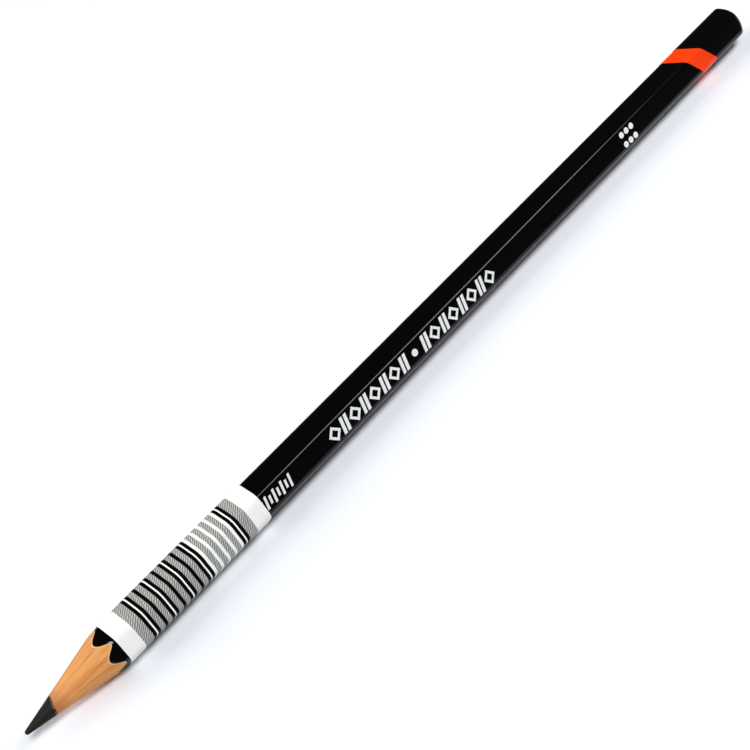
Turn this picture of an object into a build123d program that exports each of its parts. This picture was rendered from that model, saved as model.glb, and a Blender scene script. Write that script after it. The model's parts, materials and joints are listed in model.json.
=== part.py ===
from build123d import *
import os
from math import cos, radians, sin, tan

# A hexagonal wood-cased graphite pencil, sharpened, with a printed paper wrapper near its point.
#
# It lies along X on one flat of its hexagon, with the point towards -X and the blunt end towards +X.
# The origin is under its middle, on the surface that it lies on, and +Z is up. Stations along the pencil
# are measured from the tip of the point. Angles round the pencil run from +Y towards +Z, so the hexagon's
# corners are at 0, 60, 120 degrees and so on, and its flats face 30, 90, 150 degrees and so on.

# Driving dimensions, in millimetres and degrees
length = 176.2
across_flats = 6.6
corner_radius = 1.0
lacquer_thickness = 0.07
undercoat_thickness = 0.05

core_radius = 1.35
core_offset = (0.12, 0.02)
bond_thickness = 0.06
glue_thickness = 0.06

cone_half_angle = 11.6
tip_radius = 0.37

dip_thickness = 0.05
dip_normal = (1, 0.64, 0.45)
orange_dip_station = 159.0
black_dip_station = 163.5
end_paint_depth = 2.3
dome_radius = 5.0
dome_edge_radius = 1.0

paper_thickness = 0.12
paper_corner_radius = 1.8
paper_clearance = 0.01
paper_start = 16.65
paper_margin = 2.9
ink_depth = 0.04
lap_angle = -30
lap_width = 2.2
lap_fold = 0.15
lap_glue_thickness = 0.03

# Rings printed round the wrapper, behind its front margin: what is printed, and for how long
single_bar = [("bar", 0.55)]
bar_pair = [("bar", 0.55), ("bare", 0.25), ("bar", 0.55)]
tint = [("tint", 0.90)]
end_tint = [("tint", 1.65)]
dark_part = (bar_pair + tint + single_bar + tint) * 3 + bar_pair
pale_part = [("bare", 0.50), ("tint", 0.90)] * 4 + [("bare", 0.50)]
printed_rings = end_tint + dark_part + pale_part + bar_pair + end_tint

foil_facet_angle = 150
foil_thickness = 0.03
foil_slant = 12
ornament_station = 80.7
ornament_height = 2.7
ornament_dot_radius = 0.6
motif_start = 1.9
motif_pitch = 4.7
motif_count = 4
bar_width = 0.6
bar_pitch = 0.9
lozenge_width = 2.6
lozenge_stroke = 0.6
pips_station = 139.2
pip_radius = 0.55
pip_spacing = (1.4, 1.9)
ticks_start = 41.2
tick_width = 0.42
tick_pitch = 0.85
tick_count = 13
tick_heights = (2.1, 1.3)

# Dimensions that follow from them
half_flats = across_flats / 2
corner_reach = corner_radius + (half_flats - corner_radius) / cos(radians(30))
undercoat_half_flats = half_flats - lacquer_thickness
wood_half_flats = undercoat_half_flats - undercoat_thickness
bond_radius = core_radius + bond_thickness
wood_end = length - end_paint_depth
orange_end = wood_end + dip_thickness

paper_inner_radius = paper_corner_radius - paper_thickness
paper_inner_reach = corner_reach + paper_clearance
paper_inner_half_flats = paper_inner_radius + (paper_inner_reach - paper_inner_radius) * cos(radians(30))
paper_half_flats = paper_inner_half_flats + paper_thickness
paper_length = 2 * paper_margin + sum(ring_length for kind, ring_length in printed_rings)
lap_floor = paper_half_flats + lap_glue_thickness
lap_top = lap_floor + paper_thickness

axis_height = paper_half_flats


def cross_plane(station):
    """The plane square across the pencil at a station, facing the blunt end."""
    return Plane(origin=(station - length / 2, 0, axis_height), x_dir=(0, 1, 0), z_dir=(1, 0, 0))


def dip_plane(station):
    """The oblique surface of the paint when the end was dipped, at a station on the axis."""
    return Plane(origin=(station - length / 2, 0, axis_height), z_dir=dip_normal)


def facet_plane(station):
    """The marked facet's lacquer at a station, with X along the pencil towards the blunt end."""
    across = cos(radians(foil_facet_angle))
    up = sin(radians(foil_facet_angle))
    centre = (station - length / 2, half_flats * across, axis_height + half_flats * up)
    return Plane(origin=centre, x_dir=(1, 0, 0), z_dir=(0, across, up))


def hexagon(half_width, mode=Mode.ADD, rounding=None):
    """Adds or takes away a hexagon with rounded corners in the sketch in hand.

    Coats have the lacquer's own corners, pulled in or out by as much as the coat is.
    """
    if rounding is None:
        rounding = corner_radius + half_width - half_flats
    with BuildSketch(mode=Mode.PRIVATE) as outline:
        RegularPolygon(half_width, 6, major_radius=False)
        fillet(outline.vertices(), rounding)
    add(outline.sketch, mode=mode)


def lap_strip(inner, outer, start=-lap_width / 2, end=lap_width / 2, mode=Mode.ADD):
    """Adds or takes away a strip on the wrapper's lap, between two distances from the axis."""
    corners = ((inner, start), (outer, start), (outer, end), (inner, end))
    Polygon(*corners, rotation=lap_angle, align=None, mode=mode)


def ink_profile(mode=Mode.ADD):
    """The ink in the wrapper's surface, round the ring and over the lap, in the sketch in hand."""
    with BuildSketch(mode=Mode.PRIVATE) as ink:
        hexagon(paper_half_flats, rounding=paper_corner_radius)
        hexagon(paper_half_flats - ink_depth, Mode.SUBTRACT, paper_corner_radius - ink_depth)
        lap_strip(wood_half_flats, lap_top, mode=Mode.SUBTRACT)
        lap_strip(lap_top - ink_depth, lap_top)
    add(ink.sketch, mode=mode)


def slanted_bar(centre, width, height):
    """Adds an upright bar that leans towards the blunt end, in the sketch in hand."""
    left = centre - width / 2
    right = centre + width / 2
    lean = height / 2 * tan(radians(foil_slant))
    corners = ((left - lean, -height / 2), (right - lean, -height / 2), (right + lean, height / 2),
               (left + lean, height / 2))
    Polygon(*corners, align=None)


def lozenge(width, height, mode=Mode.ADD):
    """Adds or takes away a diamond at the locations in hand."""
    Polygon((width / 2, 0), (0, height / 2), (-width / 2, 0), (0, -height / 2), align=None, mode=mode)


def ring_stations(wanted):
    """The start and the length of each printed ring of one kind."""
    station = paper_start + paper_margin
    for kind, ring_length in printed_rings:
        if kind == wanted:
            yield station, ring_length
        station += ring_length


def save(piece, label):
    piece.part.label = label
    export_step(piece.part, f"parts/{label}.step")


os.makedirs("parts", exist_ok=True)

# The envelope of the finished pencil: the sharpener's cone with its rounded tip, and the domed end
with BuildPart() as envelope:
    shoulder = tip_radius * (1 - sin(radians(cone_half_angle)))
    shoulder_radius = tip_radius * cos(radians(cone_half_angle))
    cone_length = (dome_radius - shoulder_radius) / tan(radians(cone_half_angle))
    with BuildSketch(Plane(origin=(-length / 2, 0, axis_height), x_dir=(1, 0, 0), z_dir=(0, -1, 0))):
        with BuildLine():
            CenterArc((tip_radius, 0), tip_radius, 180, cone_half_angle - 90)
            Polyline(
                (shoulder, shoulder_radius),
                (shoulder + cone_length, dome_radius),
                (length - dome_radius, dome_radius),
            )
            CenterArc((length - dome_radius, 0), dome_radius, 90, -90)
            Line((length, 0), (0, 0))
        make_face()
    revolve(axis=Axis((0, 0, axis_height), (1, 0, 0)))

# The graphite core, a little off the casing's centre
with BuildPart() as graphite_core:
    with BuildSketch(cross_plane(0)):
        with Locations(core_offset):
            Circle(core_radius)
    extrude(amount=wood_end)
    add(envelope.part, mode=Mode.INTERSECT)
save(graphite_core, "graphite_core")

# The glue that fills the slats' grooves round the core
with BuildPart() as core_bond:
    with BuildSketch(cross_plane(0)):
        with Locations(core_offset):
            Circle(bond_radius)
            Circle(core_radius, mode=Mode.SUBTRACT)
    extrude(amount=wood_end)
    add(envelope.part, mode=Mode.INTERSECT)
save(core_bond, "core_bond")

# The two grooved slats, milled to three facets each, and apart by the glue line between them
for half, side in (("upper", 1), ("lower", -1)):
    with BuildPart() as casing_half:
        with BuildSketch(cross_plane(0)):
            hexagon(wood_half_flats)
            with Locations(core_offset):
                Circle(bond_radius, mode=Mode.SUBTRACT)
            with Locations((0, side * (glue_thickness / 2 + half_flats))):
                Rectangle(2 * across_flats, across_flats, mode=Mode.INTERSECT)
        extrude(amount=wood_end)
        add(envelope.part, mode=Mode.INTERSECT)
    save(casing_half, f"casing_half_{half}")

# The glue line between the slats, one strip each side of the core
for place, side in (("front", -1), ("back", 1)):
    with BuildPart() as slat_glue:
        with BuildSketch(cross_plane(0)):
            hexagon(wood_half_flats)
            with Locations(core_offset):
                Circle(bond_radius, mode=Mode.SUBTRACT)
            with Locations((side * half_flats, 0)):
                Rectangle(across_flats, glue_thickness, mode=Mode.INTERSECT)
        extrude(amount=wood_end)
        add(envelope.part, mode=Mode.INTERSECT)
    save(slat_glue, f"slat_glue_{place}")

# The coats on the wood, which the sharpener cuts to scallops
for label, inner, outer in (
    ("undercoat", wood_half_flats, undercoat_half_flats),
    ("black_lacquer", undercoat_half_flats, half_flats),
):
    with BuildPart() as coat:
        with BuildSketch(cross_plane(0)):
            hexagon(outer)
            hexagon(inner, Mode.SUBTRACT)
        extrude(amount=wood_end)
        add(envelope.part, mode=Mode.INTERSECT)
    save(coat, label)

# The orange coat over the lacquer and the cut end, with the oblique edge of a tilted dip
with BuildPart() as orange_dip:
    with BuildSketch(cross_plane(0)):
        hexagon(half_flats + dip_thickness)
    extrude(amount=orange_end)
    with BuildSketch(cross_plane(0)):
        hexagon(half_flats)
    extrude(amount=wood_end, mode=Mode.SUBTRACT)
    split(bisect_by=dip_plane(orange_dip_station), keep=Keep.TOP)
save(orange_dip, "orange_dip")

# The black coat over the orange one, with a parallel edge and a domed end
with BuildPart() as black_end_dip:
    with BuildSketch(cross_plane(0)):
        hexagon(half_flats + 2 * dip_thickness)
    extrude(amount=length)
    add(envelope.part, mode=Mode.INTERSECT)
    rim = black_end_dip.edges().filter_by(GeomType.LINE, reverse=True).filter_by_position(
        Axis.X, length / 2 - end_paint_depth, length / 2
    )
    fillet(rim, dome_edge_radius)
    with BuildSketch(cross_plane(0)):
        hexagon(half_flats + dip_thickness)
    extrude(amount=orange_end, mode=Mode.SUBTRACT)
    split(bisect_by=dip_plane(black_dip_station), keep=Keep.TOP)
save(black_end_dip, "black_end_dip")

# The wrapper: a strip wrapped once round, with its end folded up and lapped over its start
with BuildPart() as paper_band:
    with BuildSketch(cross_plane(paper_start)):
        hexagon(paper_half_flats, rounding=paper_corner_radius)
        hexagon(paper_inner_half_flats, Mode.SUBTRACT, paper_inner_radius)
        lap_strip(lap_floor, lap_top)
        lap_strip(paper_half_flats - ink_depth, lap_top, end=lap_fold - lap_width / 2)
    extrude(amount=paper_length)
    for kind in ("bar", "tint"):
        for station, ring_length in ring_stations(kind):
            with BuildSketch(cross_plane(station)):
                ink_profile()
            extrude(amount=ring_length, mode=Mode.SUBTRACT)
save(paper_band, "paper_band")

# The glue under the wrapper's lap
with BuildPart() as lap_glue:
    with BuildSketch(cross_plane(paper_start)):
        lap_strip(paper_half_flats, lap_floor, start=lap_fold - lap_width / 2)
    extrude(amount=paper_length)
save(lap_glue, "lap_glue")

# The ink in the wrapper's surface: solid black bars, and rings of a hatched tint
for kind in ("bar", "tint"):
    with BuildPart() as printed:
        for station, ring_length in ring_stations(kind):
            with BuildSketch(cross_plane(station)):
                ink_profile()
            extrude(amount=ring_length)
    save(printed, f"printed_{kind}s")

# White foil stamped on one facet: a row of lozenges and paired bars, mirrored about a dot
with BuildPart() as foil_ornament:
    with BuildSketch(facet_plane(ornament_station)):
        Circle(ornament_dot_radius)
        for side in (-1, 1):
            for motif in range(motif_count):
                start = motif_start + motif * motif_pitch
                for bar in range(2):
                    slanted_bar(side * (start + bar * bar_pitch + bar_width / 2), bar_width, ornament_height)
                lozenge_start = start + 2 * bar_pitch
                with Locations((side * (lozenge_start + lozenge_width / 2), 0)):
                    lozenge(lozenge_width, ornament_height)
                    lozenge(
                        lozenge_width - 2 * lozenge_stroke,
                        ornament_height * (1 - 2 * lozenge_stroke / lozenge_width),
                        Mode.SUBTRACT,
                    )
    extrude(amount=foil_thickness)
save(foil_ornament, "foil_ornament")

# Six pips near the blunt end, for how soft the core is
with BuildPart() as foil_pips:
    with BuildSketch(facet_plane(pips_station)):
        with GridLocations(*pip_spacing, 3, 2):
            Circle(pip_radius)
    extrude(amount=foil_thickness)
save(foil_pips, "foil_pips")

# A short row of ticks that runs out from under the wrapper
with BuildPart() as foil_ticks:
    with BuildSketch(facet_plane(ticks_start)):
        for tick in range(tick_count):
            slanted_bar(tick * tick_pitch, tick_width, tick_heights[tick % 2])
    extrude(amount=foil_thickness)
save(foil_ticks, "foil_ticks")
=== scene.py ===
import json
import math
import bpy
from mathutils import Matrix, Vector


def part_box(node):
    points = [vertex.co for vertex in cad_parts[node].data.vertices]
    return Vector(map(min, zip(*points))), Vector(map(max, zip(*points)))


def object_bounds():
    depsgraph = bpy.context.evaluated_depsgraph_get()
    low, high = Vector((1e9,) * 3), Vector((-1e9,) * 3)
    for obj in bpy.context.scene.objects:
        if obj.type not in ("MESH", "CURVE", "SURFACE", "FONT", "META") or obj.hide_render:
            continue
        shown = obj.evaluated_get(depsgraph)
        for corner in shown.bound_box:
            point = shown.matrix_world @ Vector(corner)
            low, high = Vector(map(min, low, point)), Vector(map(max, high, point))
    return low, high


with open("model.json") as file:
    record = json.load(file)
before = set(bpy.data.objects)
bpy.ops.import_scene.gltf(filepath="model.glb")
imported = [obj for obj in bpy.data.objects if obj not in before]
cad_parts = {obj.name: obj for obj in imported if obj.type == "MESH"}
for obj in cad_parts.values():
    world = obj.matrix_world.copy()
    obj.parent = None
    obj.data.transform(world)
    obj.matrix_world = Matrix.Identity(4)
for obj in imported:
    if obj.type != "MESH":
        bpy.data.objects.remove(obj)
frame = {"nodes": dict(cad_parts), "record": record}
cad_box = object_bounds()

MM = 0.001

# Where the pencil is, from the frame
low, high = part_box("paper_band")
AXIS_HEIGHT = (low.z + high.z) / 2
WRAPPER_RADIUS = (high.z - low.z) / 2
TIP = cad_box[0][0]

# The camera's place from the tip and the axis, in metres, and its angles in degrees
CAMERA_OFFSET = (-0.01765, -0.11920, 0.17004)
CAMERA_AZIMUTH = 37.60
CAMERA_ELEVATION = 48.33
CAMERA_ROLL = -15.38
CAMERA_LENS = 69.57

# How strong the world is as light and in reflections, and how strong the camera sees it
WORLD_LIGHT = 0.06
WORLD_SEEN = 1.0

# Slope and pitch of the wrapper's two sets of printed lines, the pitch in millimetres
HATCHES = ((1.25, 0.52), (0.25, 0.50))
SECOND_HATCH_WEIGHT = 0.45

# How far back from the tip the wood's stain of graphite starts to fade and has gone, in millimetres
STAIN_START = 4.6
STAIN_END = 7.4

# Scales of the mottle along each axis, per millimetre
GLOSS_MOTTLE = (0.6, 2, 2)
PRINT_MOTTLE = (8, 8, 8)
FOIL_MOTTLE = (7, 7, 7)
FLOOR_MOTTLE = (0.02, 0.02, 0.02)


# ---------------------------------------------------------------- node helpers

def new_material(name):
    """A material with only its Principled shader, and its node tree."""
    material = bpy.data.materials.new(name)
    material.use_nodes = True
    return material, material.node_tree


def connect(tree, value, socket):
    """Links another node's output to an input, or sets the input to a plain value."""
    if isinstance(value, bpy.types.NodeSocket):
        tree.links.new(value, socket)
    else:
        socket.default_value = value


def add_node(tree, kind, inputs=(), **settings):
    """Adds a node, sets its properties, then fills its inputs with values or with other nodes' outputs."""
    node = tree.nodes.new(kind)
    for key, value in settings.items():
        setattr(node, key, value)
    for key, value in dict(inputs).items():
        connect(tree, value, node.inputs[key])
    return node


def calc(tree, operation, *values):
    """A Math node's output."""
    return add_node(tree, "ShaderNodeMath", dict(enumerate(values)), operation=operation).outputs[0]


def mix(tree, factor, start, end):
    """Two colours, mixed by a factor. The colour inputs go by number, as their names are shared."""
    inputs = {"Factor": factor, 6: start, 7: end}
    return add_node(tree, "ShaderNodeMix", inputs, data_type="RGBA").outputs[2]


def ramp(tree, value, start, end, to_start=0.0, to_end=1.0):
    """A value carried from one range to another, and held at the ends."""
    inputs = {"Value": value, "From Min": start, "From Max": end, "To Min": to_start, "To Max": to_end}
    return add_node(tree, "ShaderNodeMapRange", inputs).outputs[0]


def bump(tree, height, depth_mm, strength=1.0):
    inputs = {"Height": height, "Distance": depth_mm * MM, "Strength": strength}
    return add_node(tree, "ShaderNodeBump", inputs).outputs[0]


def shade(tree, **inputs):
    """Fills the Principled shader's inputs, named with underscores for spaces."""
    shader = tree.nodes["Principled BSDF"]
    for key, value in inputs.items():
        connect(tree, value, shader.inputs[key.replace("_", " ")])


def noise_at(tree, vector, detail, rough):
    inputs = {"Vector": vector, "Scale": 1.0, "Detail": detail, "Roughness": rough}
    return add_node(tree, "ShaderNodeTexNoise", inputs).outputs[0]


def noise(tree, scale, detail=3.0, rough=0.5):
    """Noise in the object's coordinates, with a scale per millimetre along each axis."""
    coords = add_node(tree, "ShaderNodeTexCoord").outputs["Object"]
    factors = [s / MM for s in scale]
    vector = add_node(tree, "ShaderNodeMapping", {"Vector": coords, "Scale": factors}).outputs[0]
    return noise_at(tree, vector, detail, rough)


def cylindrical(tree):
    """Millimetres from the tip, and the two parts of the unit vector out from the pencil's axis."""
    coords = add_node(tree, "ShaderNodeTexCoord").outputs["Object"]
    parts = add_node(tree, "ShaderNodeSeparateXYZ", {0: coords}).outputs
    along = calc(tree, "DIVIDE", calc(tree, "SUBTRACT", parts[0], TIP), MM)
    side = parts[1]
    height = calc(tree, "SUBTRACT", parts[2], AXIS_HEIGHT)
    side_squared = calc(tree, "POWER", side, 2.0)
    height_squared = calc(tree, "POWER", height, 2.0)
    radius = calc(tree, "SQRT", calc(tree, "ADD", side_squared, height_squared))
    return along, calc(tree, "DIVIDE", side, radius), calc(tree, "DIVIDE", height, radius)


def streaks(tree, along_scale, around_scale, detail=4.0, rough=0.5):
    """Noise drawn out along the pencil, the same at every distance from its axis."""
    along, side, up = cylindrical(tree)
    parts = [calc(tree, "MULTIPLY", along, along_scale)]
    parts += [calc(tree, "MULTIPLY", part, around_scale) for part in (side, up)]
    vector = add_node(tree, "ShaderNodeCombineXYZ", dict(enumerate(parts))).outputs[0]
    return noise_at(tree, vector, detail, rough)


# ---------------------------------------------------------------- materials

def graphite():
    """Sharpened graphite, with streaks that run to the tip and a fine grain in its gloss."""
    material, tree = new_material("graphite")
    scraped = streaks(tree, 0.5, 14)
    grain = noise(tree, (11, 11, 11))
    tone = mix(tree, ramp(tree, scraped, 0.3, 0.7), (0.008, 0.009, 0.006, 1), (0.020, 0.022, 0.016, 1))
    roughness = ramp(tree, grain, 0.3, 0.7, 0.42, 0.62)
    shade(tree, Base_Color=tone, Roughness=roughness, Specular_IOR_Level=0.09)
    shade(tree, Normal=bump(tree, grain, 0.02, 0.6))
    return material


def cedar():
    """Straight-grained cedar, stained by graphite where the casing meets the core."""
    material, tree = new_material("cedar")
    grain = streaks(tree, 0.10, 6, 5, 0.6)
    fibres = streaks(tree, 0.35, 26, 4, 0.6)
    tone = mix(tree, ramp(tree, grain, 0.36, 0.64), (0.77, 0.370, 0.110, 1), (0.62, 0.235, 0.075, 1))
    tone = mix(tree, ramp(tree, fibres, 0.50, 0.72, 0, 0.6), tone, (0.42, 0.140, 0.045, 1))
    along = cylindrical(tree)[0]
    edge = calc(tree, "ADD", along, ramp(tree, fibres, 0.3, 0.7, -0.9, 0.9))
    stain = ramp(tree, edge, STAIN_START, STAIN_END, 0.6, 0)
    tone = mix(tree, stain, tone, (0.22, 0.055, 0.03, 1))
    shade(tree, Base_Color=tone, Roughness=0.6, Specular_IOR_Level=0.2)
    shade(tree, Normal=bump(tree, fibres, 0.05, 0.5))
    return material


def stained_glue():
    """Dried glue round the core, in places as dark as the core and in places as brown as the casing."""
    material, tree = new_material("core_glue")
    patches = streaks(tree, 0.3, 3.5)
    tone = mix(tree, ramp(tree, patches, 0.40, 0.58), (0.035, 0.022, 0.014, 1), (0.36, 0.13, 0.06, 1))
    shade(tree, Base_Color=tone, Roughness=0.6, Specular_IOR_Level=0.15)
    shade(tree, Normal=bump(tree, patches, 0.02, 0.5))
    return material


def hatched():
    """Fine slanted lines printed on the paper, in two directions that cross."""
    material, tree = new_material("hatched_ink")
    along, side, up = cylindrical(tree)
    across = calc(tree, "MULTIPLY", calc(tree, "ARCTAN2", side, up), WRAPPER_RADIUS / MM)
    lines = []
    for slope, pitch in HATCHES:
        shifted = calc(tree, "SUBTRACT", along, calc(tree, "MULTIPLY", across, slope))
        wave = calc(tree, "SINE", calc(tree, "MULTIPLY", shifted, 2 * math.pi / pitch))
        lines.append(ramp(tree, wave, -0.25, 0.2))
    line = calc(tree, "MAXIMUM", lines[0], calc(tree, "MULTIPLY", lines[1], SECOND_HATCH_WEIGHT))
    tone = mix(tree, line, (0.58, 0.59, 0.56, 1), (0.150, 0.155, 0.145, 1))
    shade(tree, Base_Color=tone, Roughness=0.55, Specular_IOR_Level=0.2)
    return material


def plain(name, tones, roughness, specular=0.5, scale=(3, 3, 3), depth=0.01):
    """A coat or film with a slight mottle between two tones, and the same mottle in its surface."""
    material, tree = new_material(name)
    mottle = noise(tree, scale, 4)
    start, end = [(*tone, 1) for tone in tones]
    shade(tree, Base_Color=mix(tree, mottle, start, end), Roughness=roughness)
    shade(tree, Specular_IOR_Level=specular, Normal=bump(tree, mottle, depth, 0.5))
    return material


def black_gloss():
    tones = (0.0004, 0.0004, 0.0005), (0.0010, 0.0010, 0.0011)
    return plain("black_gloss", tones, 0.12, 0.26, GLOSS_MOTTLE, 0.004)


def orange_gloss():
    tones = (0.84, 0.042, 0.002), (0.90, 0.054, 0.003)
    return plain("orange_gloss", tones, 0.2, 0.2, GLOSS_MOTTLE, 0.004)


def white_paper():
    tones = (0.86, 0.865, 0.825), (0.90, 0.90, 0.865)
    return plain("white_paper", tones, 0.5, 0.2, PRINT_MOTTLE)


def black_ink():
    tones = (0.0006, 0.0006, 0.0006), (0.0016, 0.0016, 0.0016)
    return plain("black_ink", tones, 0.5, 0.02, PRINT_MOTTLE)


def white_foil():
    tones = (0.66, 0.67, 0.67), (0.90, 0.91, 0.91)
    return plain("white_foil", tones, 0.4, 0.2, FOIL_MOTTLE)


FINISHES = {
    "graphite": graphite(),
    "core_glue": stained_glue(),
    "cedar": cedar(),
    "wood_glue": plain("wood_glue", ((0.42, 0.17, 0.05), (0.52, 0.22, 0.07)), 0.5),
    "undercoat": plain("undercoat", ((0.68, 0.38, 0.15), (0.78, 0.46, 0.20)), 0.5, 0.2),
    "black_gloss": black_gloss(),
    "orange_gloss": orange_gloss(),
    "white_paper": white_paper(),
    "paper_glue": plain("paper_glue", ((0.7, 0.68, 0.58), (0.8, 0.78, 0.68)), 0.4),
    "black_ink": black_ink(),
    "hatched_ink": hatched(),
    "white_foil": white_foil(),
}

for part in frame["record"]["subparts"]:
    node = frame["nodes"][part["node"]]
    node.data.materials.clear()
    node.data.materials.append(FINISHES[part["material_slot"]])


# ---------------------------------------------------------------- floor, light and camera

def make_floor(half_size=3.0):
    mesh = bpy.data.meshes.new("floor")
    signs = ((-1, -1), (1, -1), (1, 1), (-1, 1))
    corners = [(half_size * x, half_size * y, 0) for x, y in signs]
    mesh.from_pydata(corners, [], [(0, 1, 2, 3)])
    floor = bpy.data.objects.new("floor", mesh)
    bpy.context.collection.objects.link(floor)
    tones = (0.830, 0.845, 0.890), (0.840, 0.855, 0.900)
    mesh.materials.append(plain("floor_paint", tones, 0.7, 0.0, FLOOR_MOTTLE))


def add_light(data, place, target):
    light = bpy.data.objects.new(data.name, data)
    bpy.context.collection.objects.link(light)
    light.location = place
    light.rotation_euler = (Vector(target) - Vector(place)).to_track_quat("-Z", "Y").to_euler()


def soft_sun(name, place, spread, strength, colour):
    """Even light from a wide disc of the sky, centred on the direction of a place from the origin."""
    data = bpy.data.lights.new(name, "SUN")
    data.angle = math.radians(spread)
    data.energy = strength
    data.color = colour
    add_light(data, place, (0, 0, 0))


def soft_panel(name, place, target, size, power):
    """Light from a rectangle that faces the target, which glints along the pencil's upper corner."""
    data = bpy.data.lights.new(name, "AREA")
    data.shape = "RECTANGLE"
    data.size, data.size_y = size
    data.energy = power
    add_light(data, place, target)


def make_camera():
    azimuth = math.radians(CAMERA_AZIMUTH)
    elevation = math.radians(CAMERA_ELEVATION)
    forward = Vector((
        math.sin(azimuth) * math.cos(elevation),
        math.cos(azimuth) * math.cos(elevation),
        -math.sin(elevation),
    ))
    data = bpy.data.cameras.new("camera")
    data.sensor_width = 36
    data.lens = CAMERA_LENS
    data.clip_start = 0.01
    camera = bpy.data.objects.new("camera", data)
    bpy.context.collection.objects.link(camera)
    roll = Matrix.Rotation(math.radians(CAMERA_ROLL), 3, "Z")
    turn = forward.to_track_quat("-Z", "Y").to_matrix() @ roll
    place = Vector((TIP, 0, AXIS_HEIGHT)) + Vector(CAMERA_OFFSET)
    camera.matrix_world = Matrix.Translation(place) @ turn.to_4x4()
    bpy.context.scene.camera = camera


def make_world():
    """A dim room for light and reflections, which the camera sees as pale as the floor."""
    world = bpy.data.worlds.new("studio")
    world.use_nodes = True
    tree = world.node_tree
    seen = add_node(tree, "ShaderNodeLightPath").outputs["Is Camera Ray"]
    background = tree.nodes["Background"]
    background.inputs["Color"].default_value = (0.97, 0.98, 1.0, 1)
    connect(tree, ramp(tree, seen, 0, 1, WORLD_LIGHT, WORLD_SEEN), background.inputs["Strength"])
    bpy.context.scene.world = world


make_floor()
make_camera()
make_world()
soft_sun("key", (-0.66, 0.54, 0.51), 45, 2.35, (1.0, 0.985, 0.96))
soft_sun("fill", (-0.12, -0.33, 0.94), 18, 1.9, (0.97, 0.985, 1.0))
soft_panel("overhead", (0.265, -0.20, 0.50), (0.05, 0, 0), (0.43, 0.09), 1.3)
bpy.context.scene.view_settings.view_transform = "Standard"
